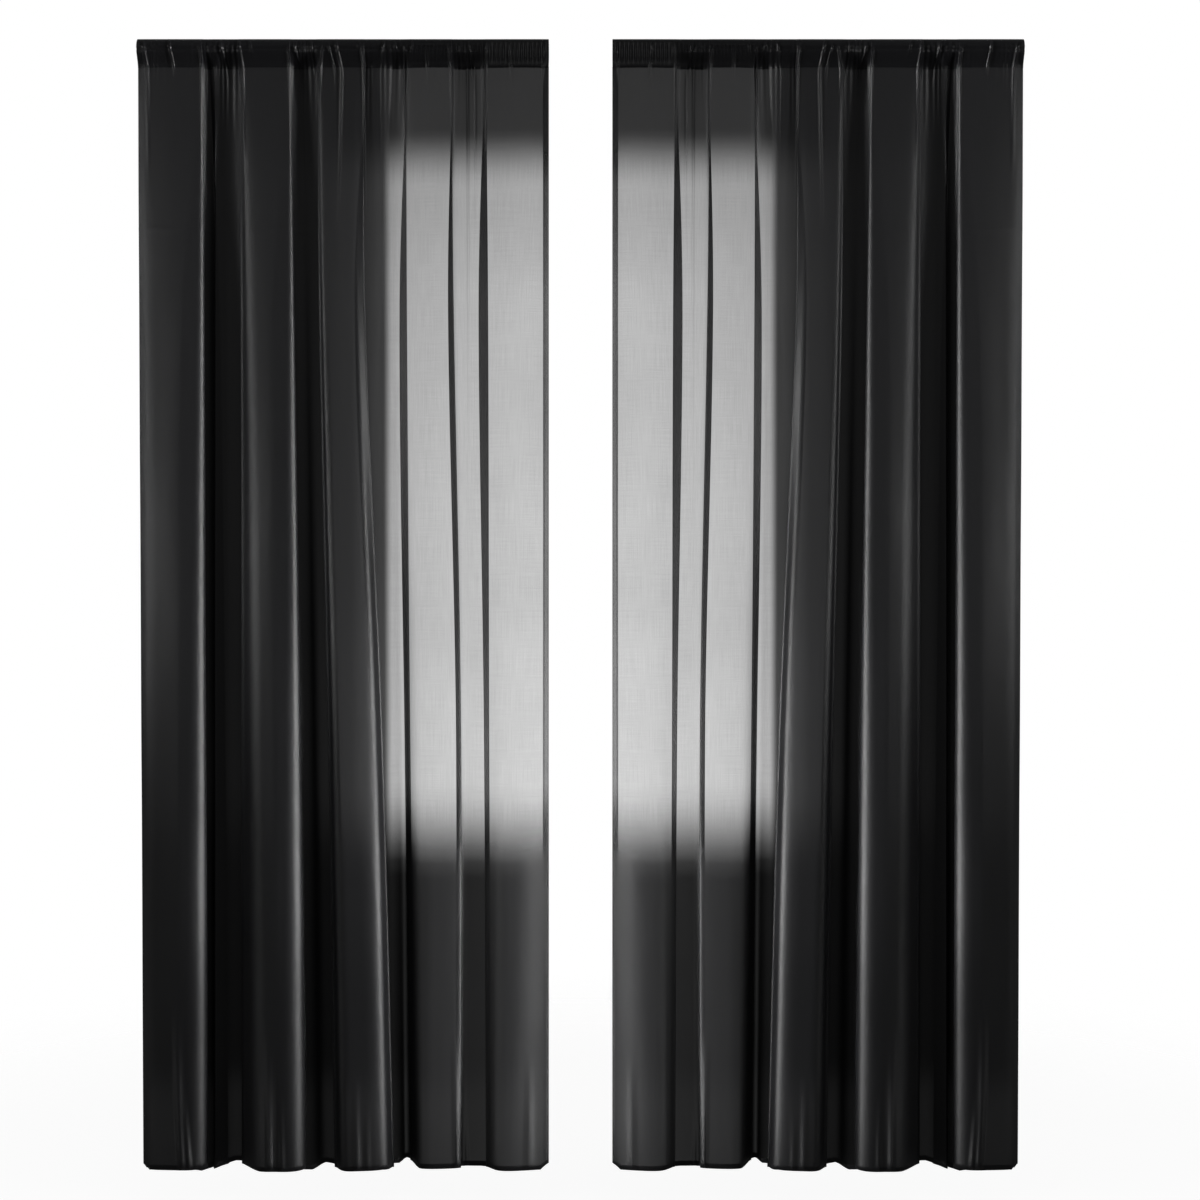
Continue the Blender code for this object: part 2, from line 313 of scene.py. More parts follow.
# The voile as a material: its weave, its uneven yarns and its soft clouds of denser cloth
BLACK = (0.007, 0.007, 0.008, 1.0)
Cloth = namedtuple("Cloth", "name roughness gloss level_row")
PANEL_CLOTH = Cloth("voile", 0.48, 0.45, LEVEL_STITCHES)
POCKET_CLOTH = Cloth("gathered_voile", 0.34, 0.17, SEAM_STITCHES)
THREAD_PITCH = 0.00055  # between neighbouring threads of the weave
STREAK_ALONG = 14.0  # yarn streaks: how fast they change along the yarn, per metre
STREAK_ACROSS = 620.0
STREAK_DETAIL = 3.0
WARP_SHARE = 0.6  # of the streaks that the warp gives, and the weft the rest
CLOUD_ACROSS = 9.0
CLOUD_DOWN = 5.0
CLOUD_DETAIL = 4.0
MIDDLE_VALUE = 0.5  # of the streaks and the clouds
STREAK_ENDS = (0.3, 0.7)  # the streaks' values on the darkest and on the lightest yarns
YARN_TINT = (0.75, 1.3)  # and the colour's share there
YARN_CLEAR = 0.45  # how much the yarns, the clouds and the weave's holes change the clearness
CLOUD_CLEAR = 0.22
HOLES_CLEAR = 0.10
YARN_ROUGH = 0.12  # how much the yarns change the roughness
YARN_HEIGHT = 0.4  # heights beside the weave's
SEWN_HEIGHT = 4.0
BUMP_STRENGTH = 0.16
BUMP_DISTANCE = 0.0002
SHEEN = 0.04
SHEEN_ROUGHNESS = 0.45
SHEEN_TINT = (0.55, 0.56, 0.58, 1.0)

# The camera stands square to the pair, as far off and as high as the view in the photograph
CAMERA_DISTANCE = 3.8  # from the plane of the top edge
PHOTO_SIDE = 1200  # pixels
PHOTO_TOP_EDGE = 39.5
PHOTO_MIDDLE_X = 580.6
PHOTO_PIXEL = 0.001894  # metres in the plane of the top edge
SENSOR = 36.0
FURTHEST_SEEN = 60.0

# The studio: a round floor that fades out towards its rim, and white all round, which is dimmer as
# a source of light than to the eye
FLOOR_RADIUS = 2.6
FLOOR_SIDES = 96
FLOOR_BELOW_HEM = 0.075
FLOOR_FADES = (0.45, 0.98)  # from and to, as shares of its radius
FLOOR_GREY = 0.45
FLOOR_ROUGHNESS = 0.9
FLOOR_GLOW = 0.90
STUDIO_DIM = 0.14

# Soft boxes of plain white light for the left panel, in metres and watts. The right panel has
# their mirror images. A grid on each keeps its light within the spread, in degrees.
Lamp = namedtuple("Lamp", "name location aim width height watts spread")
SIDE_LAMPS = (
    Lamp("strip", (1.4, -0.55, -0.65), (-0.9, 0.0, -0.65), 0.16, 2.1, 1.9, 10),
    Lamp("foot", (1.4, -0.55, -2.0), (-0.9, 0.0, -2.0), 0.16, 0.8, 0.30, 10),
    Lamp("low", (1.0, -0.62, -1.9), (-0.28, 0.0, -1.8), 0.16, 1.3, 1.1, 16),
    Lamp("box", (-2.1, -0.75, -0.45), (-0.50, 0.0, -0.55), 0.3, 1.4, 0.85, 30),
    Lamp("side_low", (-2.1, -0.75, -1.5), (-0.53, 0.0, -1.5), 0.2, 1.3, 0.055, 8),
)
TOP_LAMP = Lamp("top_strip", (0.0, -1.1, 1.3), (0.0, 0.0, -0.3), 2.4, 0.4, 1.0, 180)


def smooth_step(low, high, value):
    """0 below low, 1 above high, and a smooth rise between them."""
    t = min(1.0, max(0.0, (value - low) / (high - low)))
    return t * t * (3 - 2 * t)


def at_height(values, down):
    """One of a fold's sizes at a distance below the top edge, in metres: a smooth curve through
    its four stations, a cubic between two of them with slopes taken from their neighbours."""
    last = len(STATIONS) - 1
    i = max(k for k in range(last) if k == 0 or down > STATIONS[k])
    slopes = []
    for k in (i, i + 1):
        before, after = max(k - 1, 0), min(k + 1, last)
        slopes.append((values[after] - values[before]) / (STATIONS[after] - STATIONS[before]))
    span = STATIONS[i + 1] - STATIONS[i]
    t = min(1.0, max(0.0, (down - STATIONS[i]) / span))
    start = (1 + 2 * t) * (1 - t) ** 2 * values[i] + t * (1 - t) ** 2 * span * slopes[0]
    end = t * t * (3 - 2 * t) * values[i + 1] - t * t * (1 - t) * span * slopes[1]
    return (start + end) * MM


def towards(start, end, distance):
    """The point at a distance from start on the way to end, short of a bend's longest reach."""
    length = math.hypot(end[0] - start[0], end[1] - start[1])
    share = min(distance / length, LONGEST_REACH)
    return (start[0] + share * (end[0] - start[0]), start[1] + share * (end[1] - start[1]))


def soft_bend(before, corner, after, reach):
    """Points round a bend: a curve that leaves one side and meets the other within the reach."""
    first, last = towards(corner, before, reach), towards(corner, after, reach)
    points = []
    for i in range(BEND_POINTS):
        t = i / (BEND_POINTS - 1)
        weights = ((1 - t) ** 2, 2 * t * (1 - t), t * t)
        points.append(tuple(
            weights[0] * p + weights[1] * q + weights[2] * r for p, q, r in zip(first, corner, last)
        ))
    return points


def turn_round(came_from, across, forward, half_turn, reach, depth):
    """Points round a turn, where the cloth doubles back: half an oval. Its half in front is
    stretched to the reach and rounds back by the depth, from the same front."""
    side = 1 if across > came_from else -1
    depth = max(depth, abs(half_turn))
    centre = forward - depth + abs(half_turn)
    points = []
    for i in range(BEND_POINTS):
        angle = math.pi * i / (BEND_POINTS - 1)
        in_front = (math.cos(angle) > 0) == (half_turn > 0)
        wide = max(reach, abs(half_turn)) if in_front else abs(half_turn)
        deep = depth if in_front else abs(half_turn)
        points.append((
            across - side * wide * (1 - math.sin(angle)),
            centre + math.copysign(deep, half_turn) * math.cos(angle),
        ))
    return points


def turns(down, middles):
    """The points round each fold edge where the cloth doubles back, by the edge's number."""
    below = down - POCKET_HEIGHT
    turn_share = TURN_AT_HEADING + (1 - TURN_AT_HEADING) * smooth_step(0, TURN_GROWS_OVER, below)
    grown = (max(0.0, below) / (DROP - POCKET_HEIGHT)) ** RIDGE_GROWTH
    ridge_share = RIDGE_AT_HEADING + (1 - RIDGE_AT_HEADING) * grown
    rounds = {}
    for i, fold in enumerate(FOLDS):
        if fold.turn:
            half_turn = fold.turn * MM / 2 * turn_share * TURN_FULLNESS
            reach = fold.reach * MM * ridge_share
            depth = reach * FLAT_RIDGES.get(fold.name, RIDGE_DEPTH)
            rounds[i] = turn_round(middles[i - 1][0], *middles[i], half_turn, reach, depth)
    return rounds


def bends(down):
    """The points round every fold edge of the panel's line at one height. A soft bend starts and
    ends short of the turns beside it."""
    middles = [(at_height(f.across, down), at_height(f.forward, down)) for f in FOLDS]
    rounds = turns(down, middles)
    groups = []
    for i, (fold, middle) in enumerate(zip(FOLDS, middles)):
        if i in (0, len(FOLDS) - 1):
            groups.append([middle])
        elif i in rounds:
            groups.append(rounds[i])
        else:
            before = rounds[i - 1][-1] if i - 1 in rounds else middles[i - 1]
            after = rounds[i + 1][0] if i + 1 in rounds else middles[i + 1]
            groups.append(soft_bend(before, middle, after, fold.reach * MM * REACH_FULLNESS))
    return groups


def stretches(down):
    """The panel's line at one height in stretches, each from the middle of one fold edge to the
    middle of the next."""
    groups = bends(down)
    return [
        group[len(group) // 2:] + following[:len(following) // 2 + 1]
        for group, following in zip(groups, groups[1:])
    ]


def length_of(line):
    """The length of a line of points."""
    return sum(math.dist(start, end) for start, end in zip(line, line[1:]))


def column_places():
    """For each stretch, the places of its columns as shares of its length. They crowd towards the
    turns."""
    at_stations = [[length_of(stretch) for stretch in stretches(down)] for down in STATIONS]
    places = []
    for i, lengths in enumerate(zip(*at_stations)):
        turned = [bool(FOLDS[i].turn), bool(FOLDS[i + 1].turn)]
        middle = (FOLDS[i].across[0] + FOLDS[i + 1].across[0]) * MM / 2
        spacing = CLUSTER_SPACING if in_cluster(middle) > 0.5 else HEADING_SPACING
        count = max(lengths[0] / spacing, max(lengths) / WIDEST_SPACING)
        count = round(count) + 1 + TURN_COLUMNS * sum(turned)
        shares = []
        for k in range(count):
            t = k / count
            eased = t * t * (3 - 2 * t)
            if turned == [True, False]:
                eased = 0.5 * (t + t * t)
            elif turned == [False, True]:
                eased = 0.5 * (3 * t - t * t)
            shares.append(EVEN_SHARE * t + (1 - EVEN_SHARE) * eased if any(turned) else t)
        places.append(shares)
    places.append([0.0])
    return places


def divided(line, places):
    """The points at some shares of a line's length, in rising order."""
    total = length_of(line)
    points, walked, i = [], 0.0, 0
    for share in places:
        step = math.dist(line[i], line[i + 1])
        while walked + step < share * total and i < len(line) - 2:
            walked += step
            i += 1
            step = math.dist(line[i], line[i + 1])
        t = min(1.0, (share * total - walked) / step) if step else 0.0
        points.append(tuple(p + t * (q - p) for p, q in zip(line[i], line[i + 1])))
    return points


def smoothed(line):
    """The line with each point moved a little towards the middle of its neighbours."""
    return [line[0]] + [
        tuple(0.25 * p + 0.5 * q + 0.25 * r for p, q, r in zip(*three))
        for three in zip(line, line[1:], line[2:])
    ] + [line[-1]]


def in_place(across, forward):
    """A point of the panel's line where it truly lies. The folds' places are as the camera sees
    them against the plane of the top edge, so what stands further back lies further out."""
    half_width = -OUTER_EDGE_X
    return half_width - (half_width - across) * (1 - forward / CAMERA_DISTANCE), forward


def plain_line(down, places):
    """The panel's line at one height without its small gathers, as (across, forward) points."""
    line = []
    for stretch, shares in zip(stretches(down), places):
        line.extend(divided(stretch, shares))
    line.append(stretch[-1])
    return [in_place(*point) for point in smoothed(line)]


def ripple_height(across, down):
    """How far the small gathers and flutes stand out of the folds at a place."""
    total = 0.0
    for ripple in RIPPLES:
        for start, end in zip(ripple.points, ripple.points[1:]):
            if not start[1] * MM < down <= end[1] * MM:
                continue
            t = (down / MM - start[1]) / (end[1] - start[1])
            centre = start[0] + t * (end[0] - start[0])
            nearness = abs(across / MM - centre) / ripple.width
            if nearness < 1:
                height = start[2] + t * (end[2] - start[2])
                total += height * MM * (0.5 + 0.5 * math.cos(math.pi * nearness))
    return total


def in_cluster(across):
    """1 in a cluster of pleats, 0 on the lobes between them, and soft edges."""
    most = 0.0
    for start, end in CLUSTERS:
        inside = min(across - start * MM, end * MM - across)
        most = max(most, smooth_step(-CLUSTER_EDGE, CLUSTER_EDGE, inside))
    return most


def uneven(across, down, kind):
    """A value that varies smoothly over the cloth."""
    varied = noise.noise((across * kind.across, kind.seed, down * kind.down))
    return kind.steady + kind.varies * varied


def fine_wave(across, down, pitch):
    """A wave of uneven pitch, between -1 and 1."""
    phase = uneven(across, down, WANDER) + SWAY * math.sin(across / SWAY_LENGTH)
    return math.sin(2 * math.pi * across / pitch + phase)


def fine_gathers(across, down):
    """The fine gathers of the pocket's front wall and the heading."""
    if down > DEEP_FADES_BY:
        return 0.0
    low = FINE_LOW * (1 - smooth_step(POCKET_HEIGHT, LOW_FADES_BY, down))
    low *= max(0.0, uneven(across, down, LOW_UNEVEN))
    deep = FINE_DEEP * (1 - smooth_step(POCKET_HEIGHT, DEEP_FADES_BY, down))
    deep *= max(0.0, uneven(across, down, DEEP_UNEVEN))
    return fine_wave(across, down, FINE_PITCH) * (low + (deep - low) * in_cluster(across))


def back_gathers(across, down):
    """The deep gathers of the pocket's back wall."""
    deep = BACK_DEEP * uneven(across, down, BACK_UNEVEN)
    return deep * fine_wave(across, down, BACK_PITCH)


def drift(across, down):
    """How far the slow unevenness of the hung cloth stands out at a place."""
    grown = smooth_step(0.0, DRIFT_GROWS_OVER, down - POCKET_HEIGHT)
    heights = [d.height * noise.noise((across * d.across, down * d.down, d.seed)) for d in DRIFTS]
    return grown * sum(heights)


def crease(across, down):
    """How far the packing crease, a shallow level fold, stands out at a place."""
    bow = CREASE_BOW * noise.noise((across * BOW_ACROSS, *BOW_SEED))
    near = (down - CREASE_DOWN - bow) / CREASE_WIDTH
    patchy = abs(noise.noise((across * PATCH_ACROSS, *PATCH_SEED)))
    strength = CREASE_FAINTEST + (1 - CREASE_FAINTEST) * patchy
    return CREASE_DEPTH * math.exp(-near * near) * strength


def details(across, down):
    """How far all the small gathers, creases and unevenness stand out at a place."""
    small = ripple_height(across, down) + fine_gathers(across, down)
    return small + drift(across, down) + crease(across, down)


def panel_line(down, places):
    """The panel's line at one height, as (across, forward) points."""
    return [
        (across, forward + details(across, down)) for across, forward in plain_line(down, places)
    ]


def behind(line):
    """For each point of a line, the direction that leads out of the cloth's back."""
    directions = []
    for i in range(len(line)):
        before, after = line[max(i - 1, 0)], line[min(i + 1, len(line) - 1)]
        da, df = after[0] - before[0], after[1] - before[1]
        length = math.hypot(da, df) or 1.0
        directions.append((df / length, -da / length))
    return directions


def along(line, distance):
    """The point of a line at a distance from its first point, and the place it has in the list."""
    for i, (start, end) in enumerate(zip(line, line[1:])):
        step = math.dist(start, end)
        if distance <= step or i == len(line) - 2:
            t = min(1.0, distance / step)
            return tuple(p + t * (q - p) for p, q in zip(start, end)), i
        distance -= step


def side_hem(line, backs):
    """The hem's layers at the start of a line, from the inmost edge out to the panel's edge."""
    points = []
    for share, layers in HEM_WAY:
        point, i = along(line, share * SIDE_HEM)
        points.append(tuple(p + layers * LAYER * b for p, b in zip(point, backs[i])))
    return points


def with_hems(line):
    """The line with a double hem at either end, and the way out of its back at each point."""
    backs = behind(line)
    first = side_hem(line, backs)
    last = side_hem(line[::-1], backs[::-1])[::-1]
    return first + line + last, [backs[0]] * len(first) + backs + [backs[-1]] * len(last)


def by_column(values, places):
    """A value for each column of the panel, hems among them, from one value for each fold edge."""
    columns = []
    for i, shares in enumerate(places[:-1]):
        columns.extend(values[i] + share * (values[i + 1] - values[i]) for share in shares)
    columns.append(values[-1])
    return [columns[0]] * len(HEM_WAY) + columns + [columns[-1]] * len(HEM_WAY)


def corner_rise(across, down, line):
    """How far a point near the bottom is turned up, by its distance from the side edges."""
    nearest = min(across - line[0][0], line[-1][0] - across)
    lowness = smooth_step(DROP - CORNER_HEIGHT, DROP, down)
    return CORNER_RISE * lowness * max(0.0, 1 - nearest / CORNER_WIDTH) ** CORNER_CURVE


def place(across, forward, down):
    """A point of the left panel in the frame."""
    return (OUTER_EDGE_X + across, -forward, -down)


def row_heights():
    """The distances below the top edge of the panel's rows of points."""
    heights = []
    for band in ROW_BANDS:
        count = round((band.end - band.start) / band.spacing)
        heights.extend(band.start + (band.end - band.start) * i / count for i in range(count))
    return heights + [DROP]


def panel_grid(places):
    """The left panel's grid of points, its hems among them, and each row's place on the cut
    cloth, down from the top edge."""
    hangs = by_column([fold.hang * MM for fold in FOLDS], places)
    rows, cut_down = [], []
    for down in row_heights():
        line = panel_line(down, places)
        full, backs = with_hems(line)
        grown = smooth_step(HANG_STARTS, DROP, down)
        rows.append([
            place(across, forward, down + grown * hang - corner_rise(across, down, line))
            for (across, forward), hang in zip(full, hangs)
        ])
        cut_down.append(down)
    for share, layers in reversed(HEM_WAY):
        down = DROP - share * BOTTOM_HEM
        rows.append([
            place(
                across + layers * LAYER * back[0],
                forward + layers * LAYER * back[1],
                down + hang - corner_rise(across, down, line),
            )
            for (across, forward), back, hang in zip(full, backs, hangs)
        ])
        cut_down.append(cut_down[-1] + HEM_ROW_STEP)
    return rows, cut_down


def cut_across(places):
    """Each column's place across the cut cloth, as a share of its width."""
    totals = [0.0] * len(by_column([0.0] * len(FOLDS), places))
    for down in STATIONS[1:]:
        line = with_hems(panel_line(down, places))[0]
        total, walked = length_of(line), 0.0
        for i, (start, end) in enumerate(zip(line, line[1:])):
            walked += math.dist(start, end)
            totals[i + 1] += walked / total
    return [total / (len(STATIONS) - 1) for total in totals]


def pocket_wall():
    """The pocket's section on one side, from the seam to the top: the distance below the top edge,
    how far the wall has opened from the seam (0) to its place round the rod (1), and the share of
    the rod's radius it stands out by."""
    wall = []
    for i in range(WALL_STEPS):
        down = POCKET_HEIGHT - (POCKET_HEIGHT - ROD_CENTRE_DOWN) * i / WALL_STEPS
        opened = 1 - smooth_step(ROD_CENTRE_DOWN, POCKET_HEIGHT, down)
        wall.append((down, opened, 1.0))
    for i in range(ARC_STEPS + 1):
        angle = math.pi / 2 * (1 - i / ARC_STEPS)
        wall.append((ROD_CENTRE_DOWN * (1 - math.cos(angle)), 1.0, math.sin(angle)))
    return wall


def pocket_grid():
    """The left pocket's grid of points: one row for each place round its section, from the front
    of the seam up over the rod and down behind it."""
    seam = sum((stretch[:-1] for stretch in stretches(POCKET_HEIGHT)), [])
    seam.append((HUNG_WIDTH, at_height(FOLDS[-1].forward, POCKET_HEIGHT)))
    count = round(length_of(seam) / POCKET_SPACING)
    seam = smoothed(divided(seam, [i / count for i in range(count + 1)]))
    seam = [in_place(*point) for point in seam]
    deepest = min(forward for _, forward in seam)
    front, back = pocket_wall(), pocket_wall()[::-1][1:]
    rows = []
    for side, wall in ((1, front), (-1, back)):
        for down, opened, share in wall:
            pinch = PINCH_DEPTH * math.exp(-(((down - PINCH_DOWN) / PINCH_WIDTH) ** 2))
            row = []
            for across, forward in seam:
                gathers = ripple_height(across, down) + fine_gathers(across, down)
                full = back_gathers(across, down) if side < 0 else gathers
                stands = ROUND_ROD + GATHER_LIFT * (forward - deepest) - pinch
                round_rod = side * (stands * share + full * share ** 2)
                at_seam = forward + gathers + side * WALL_APART
                row.append(place(across, (1 - opened) * at_seam + opened * round_rod, down))
            rows.append(row)
    return rows, [i / count for i in range(count + 1)]


def grid_mesh(name, rows, across_shares, down_lengths, mirrored):
    """A mesh over a grid of points. It carries two maps of the cut cloth: one in metres for the
    weave, and one that fills the unit square."""
    columns = len(rows[0])
    vertices = [point for row in rows for point in row]
    faces = []
    for i in range(len(rows) - 1):
        this, below = i * columns, (i + 1) * columns
        faces.extend((this + j, below + j, below + j + 1, this + j + 1) for j in range(columns - 1))
    if mirrored:
        vertices = [(-x, y, z) for x, y, z in vertices]
        faces = [face[::-1] for face in faces]
    mesh = bpy.data.meshes.new(name)
    mesh.from_pydata(vertices, [], faces)
    mesh.shade_smooth()
    cut, square = mesh.uv_layers.new(name="cut"), mesh.uv_layers.new(name="OFBake")
    longest = max(down_lengths)
    in_metres, in_square = [], []
    for loop in mesh.loops:
        row, column = divmod(loop.vertex_index, columns)
        in_metres += across_shares[column] * FLAT_WIDTH, down_lengths[row]
        in_square += across_shares[column], 1 - down_lengths[row] / longest
    cut.uv.foreach_set("vector", in_metres)
    square.uv.foreach_set("vector", in_square)
    return mesh


def looked_up(table, value):
    """What a table gives for a value, with a smooth way from each of its entries to the next."""
    for (start, low), (end, high) in zip(table, table[1:]):
        if value <= end:
            return low + (high - low) * smooth_step(start, end, value)
    return table[-1][1]


def painted_light_clear_at(across, down):
    """How much light one layer lets through at a place on the hung panel, as painted light and shade.
    """
    low = LOW_PAINTED_CLEAR * smooth_step(LOW_FROM, LOW_WHOLE, down)
    return looked_up(PAINTED_LIGHT_CLEAR_AT, across / MM) * looked_up(PAINTED_LIGHT_CLEAR_DOWN, down) + low


def painted_panel_clearness(places, rows):
    """How much light one layer of the left panel lets through at each point of its grid, with painted
    light and shade across and down it, and painted shade in narrow folds.
    """
    fold_shade = []
    for i, shares in enumerate(places[:-1]):
        fold_shade += [FOLD_SHADE_SHARE if FOLDS[i].turn and FOLDS[i + 1].turn else 1.0] * len(shares)
    fold_shade = [1.0] * len(HEM_WAY) + fold_shade + [1.0] * (1 + len(HEM_WAY))
    return [
        share * painted_light_clear_at(x - OUTER_EDGE_X, -z)
        for row in rows
        for (x, _, z), share in zip(row, fold_shade)
    ]


def painted_pocket_clearness(rows):
    """How much light one layer of the left pocket lets through at each point of its grid, as painted
    light and shade.
    """
    clear = []
    for x, _, z in (point for row in rows for point in row):
        at_seam = smooth_step(SEAM_DENSE_FROM, POCKET_HEIGHT, -z)
        clear.append(looked_up(POCKET_PAINTED_LIGHT_CLEAR_AT, (x - OUTER_EDGE_X) / MM) * (1 - SEAM_TAKES * at_seam))
    return clear


def edge_distances(across_shares, row_distances, side_layers):
    """For each point of a grid, how far it lies from the nearer side edge along the cloth, and how
    far from the level edge or seam."""
    first = across_shares[side_layers] * FLAT_WIDTH
    last = across_shares[-1 - side_layers] * FLAT_WIDTH
    columns = [min(abs(a * FLAT_WIDTH - first), abs(last - a * FLAT_WIDTH)) for a in across_shares]
    return [(column, distance, 0.0) for distance in row_distances for column in columns]


def write_distances(mesh, distances):
    """Keeps each point's distances from the edges on the mesh, for the rows of stitches."""
    edges = mesh.attributes.new("from_edges", "FLOAT_VECTOR", "POINT")
    edges.data.foreach_set("vector", [part for distance in distances for part in distance])


def write_clearness(mesh, shares):
    """Keeps each point's clearness, with its painted light and shade, on the mesh. Cloth that slants
    away is denser, because a way through it crosses more threads."""
    normals = [0.0] * (3 * len(mesh.vertices))
    mesh.vertices.foreach_get("normal", normals)
    values = [share ** (1 / max(STEEPEST, abs(y))) for share, y in zip(shares, normals[1::3])]
    clear = mesh.attributes.new("clearness", "FLOAT", "POINT")
    clear.data.foreach_set("value", values)


def add_piece(name, mesh, material, node):
    """An object for a mesh, riding on the one body, in place of a node."""
    piece = bpy.data.objects.new(name, mesh)
    mesh.materials.append(material)
    bpy.context.scene.collection.objects.link(piece)
    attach(piece, "root")
    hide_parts(node)
    return piece


class Nodes:
    """A short way to build a material's node tree."""

    def __init__(self, name):
        self.material = bpy.data.materials.new(name)
        self.material.use_nodes = True
        self.tree = self.material.node_tree
        self.shader = self.tree.nodes["Principled BSDF"]

    def node(self, kind, **settings):
        """A new node with the settings given."""
        made = self.tree.nodes.new(kind)
        for key, value in settings.items():
            setattr(made, key, value)
        return made

    def math(self, operation, *values):
        """The result of one step of arithmetic on numbers or sockets."""
        made = self.node("ShaderNodeMath", operation=operation)
        for socket, value in zip(made.inputs, values):
            self.feed(socket, value)
        return made.outputs[0]

    def feed(self, socket, value):
        """Links a socket to an input, or sets the input to a number."""
        if isinstance(value, bpy.types.NodeSocket):
            self.tree.links.new(value, socket)
        else:
            socket.default_value = value


def cut_coordinates(n):
    """Sockets for the place on the cut cloth, in metres: across it and down it."""
    uv = n.node("ShaderNodeUVMap", uv_map="cut")
    parts = n.node("ShaderNodeSeparateXYZ")
    n.tree.links.new(uv.outputs["UV"], parts.inputs[0])
    return parts.outputs["X"], parts.outputs["Y"]


def streaks(n, across, down, across_scale, down_scale, detail):
    """Noise drawn out along one set of yarns, between 0 and 1."""
    spot = n.node("ShaderNodeCombineXYZ")
    n.feed(spot.inputs["X"], n.math("MULTIPLY", across, across_scale))
    n.feed(spot.inputs["Y"], n.math("MULTIPLY", down, down_scale))
    field = n.node("ShaderNodeTexNoise")
    field.inputs["Scale"].default_value = 1.0
    field.inputs["Detail"].default_value = detail
    n.tree.links.new(spot.outputs[0], field.inputs["Vector"])
    return field.outputs["Fac"]


def stitch_row(n, distance, row_at, run):
    """1 on the stitches of a row that lies at a distance from an edge, and 0 elsewhere."""
    off = n.math("ABSOLUTE", n.math("SUBTRACT", distance, row_at))
    near = n.math("LESS_THAN", off, THREAD_HALF_WIDTH)
    stitch = n.math("LESS_THAN", n.math("FRACT", n.math("DIVIDE", run, STITCH_LENGTH)), STITCHED_SHARE)
    return n.math("MULTIPLY", near, stitch)


def stitches(n, across, down, level_row):
    """1 on the rows of stitches along the side hems and along the level hem or seam."""
    edges = n.node("ShaderNodeAttribute", attribute_name="from_edges")
    parts = n.node("ShaderNodeSeparateXYZ")
    n.tree.links.new(edges.outputs["Vector"], parts.inputs[0])
    side = stitch_row(n, parts.outputs["X"], SIDE_STITCHES, down)
    level = stitch_row(n, parts.outputs["Y"], level_row, across)
    return n.math("MAXIMUM", side, level)


def yarn_streaks(n, across, down):
    """The streaks of the uneven yarns, warp and weft together, between 0 and 1."""
    warp = streaks(n, across, down, STREAK_ACROSS, STREAK_ALONG, STREAK_DETAIL)
    weft = streaks(n, across, down, STREAK_ALONG, STREAK_ACROSS, STREAK_DETAIL)
    return n.math("ADD", n.math("MULTIPLY", warp, WARP_SHARE), n.math("MULTIPLY", weft, 1 - WARP_SHARE))


def about_one(n, value, middle, amount):
    """1 where a value is at its middle, and more or less than 1 as it is above or below that."""
    return n.math("ADD", n.math("MULTIPLY", n.math("SUBTRACT", value, middle), amount), 1.0)


def colour_yarns(n, yarn):
    """Gives the cloth its black, a little lighter or darker from yarn to yarn."""
    ramp = n.node("ShaderNodeMapRange")
    n.feed(ramp.inputs["Value"], yarn)
    ramp.inputs["From Min"].default_value = STREAK_ENDS[0]
    ramp.inputs["From Max"].default_value = STREAK_ENDS[1]
    ramp.inputs["To Min"].default_value = YARN_TINT[0]
    ramp.inputs["To Max"].default_value = YARN_TINT[1]
    tint = n.node("ShaderNodeMix", data_type="RGBA", blend_type="MULTIPLY")
    tint.inputs["Factor"].default_value = 1.0
    tint.inputs["A"].default_value = BLACK
    shade = n.node("ShaderNodeCombineColor")
    for socket in shade.inputs[:3]:
        n.feed(socket, ramp.outputs["Result"])
    n.tree.links.new(shade.outputs[0], tint.inputs["B"])
    n.tree.links.new(tint.outputs["Result"], n.shader.inputs["Base Color"])


def let_light_through(n, clouds, yarn, threads, sewn):
    """Makes the cloth as clear as its points say, with their painted light and shade, unevenly, and
    opaque on its stitches.
    """
    attribute = n.node("ShaderNodeAttribute", attribute_name="clearness")
    by_yarn = about_one(n, yarn, MIDDLE_VALUE, YARN_CLEAR)
    by_cloud = about_one(n, clouds, MIDDLE_VALUE, CLOUD_CLEAR)
    by_hole = about_one(n, threads, 0.0, HOLES_CLEAR)
    clear = n.math("MULTIPLY", attribute.outputs["Fac"], n.math("MULTIPLY", by_yarn, by_cloud))
    clear = n.math("MULTIPLY", clear, n.math("MULTIPLY", by_hole, n.math("SUBTRACT", 1.0, sewn)))
    n.feed(n.shader.inputs["Alpha"], n.math("SUBTRACT", 1.0, clear))


def raise_threads(n, weave, yarn, sewn):
    """Raises the weave, the thicker yarns and the stitches as bump."""
    bump = n.node("ShaderNodeBump")
    bump.inputs["Strength"].default_value = BUMP_STRENGTH
    bump.inputs["Distance"].default_value = BUMP_DISTANCE
    woven = n.math("ADD", weave, n.math("MULTIPLY", yarn, YARN_HEIGHT))
    n.feed(bump.inputs["Height"], n.math("ADD", woven, n.math("MULTIPLY", sewn, SEWN_HEIGHT)))
    n.tree.links.new(bump.outputs["Normal"], n.shader.inputs["Normal"])


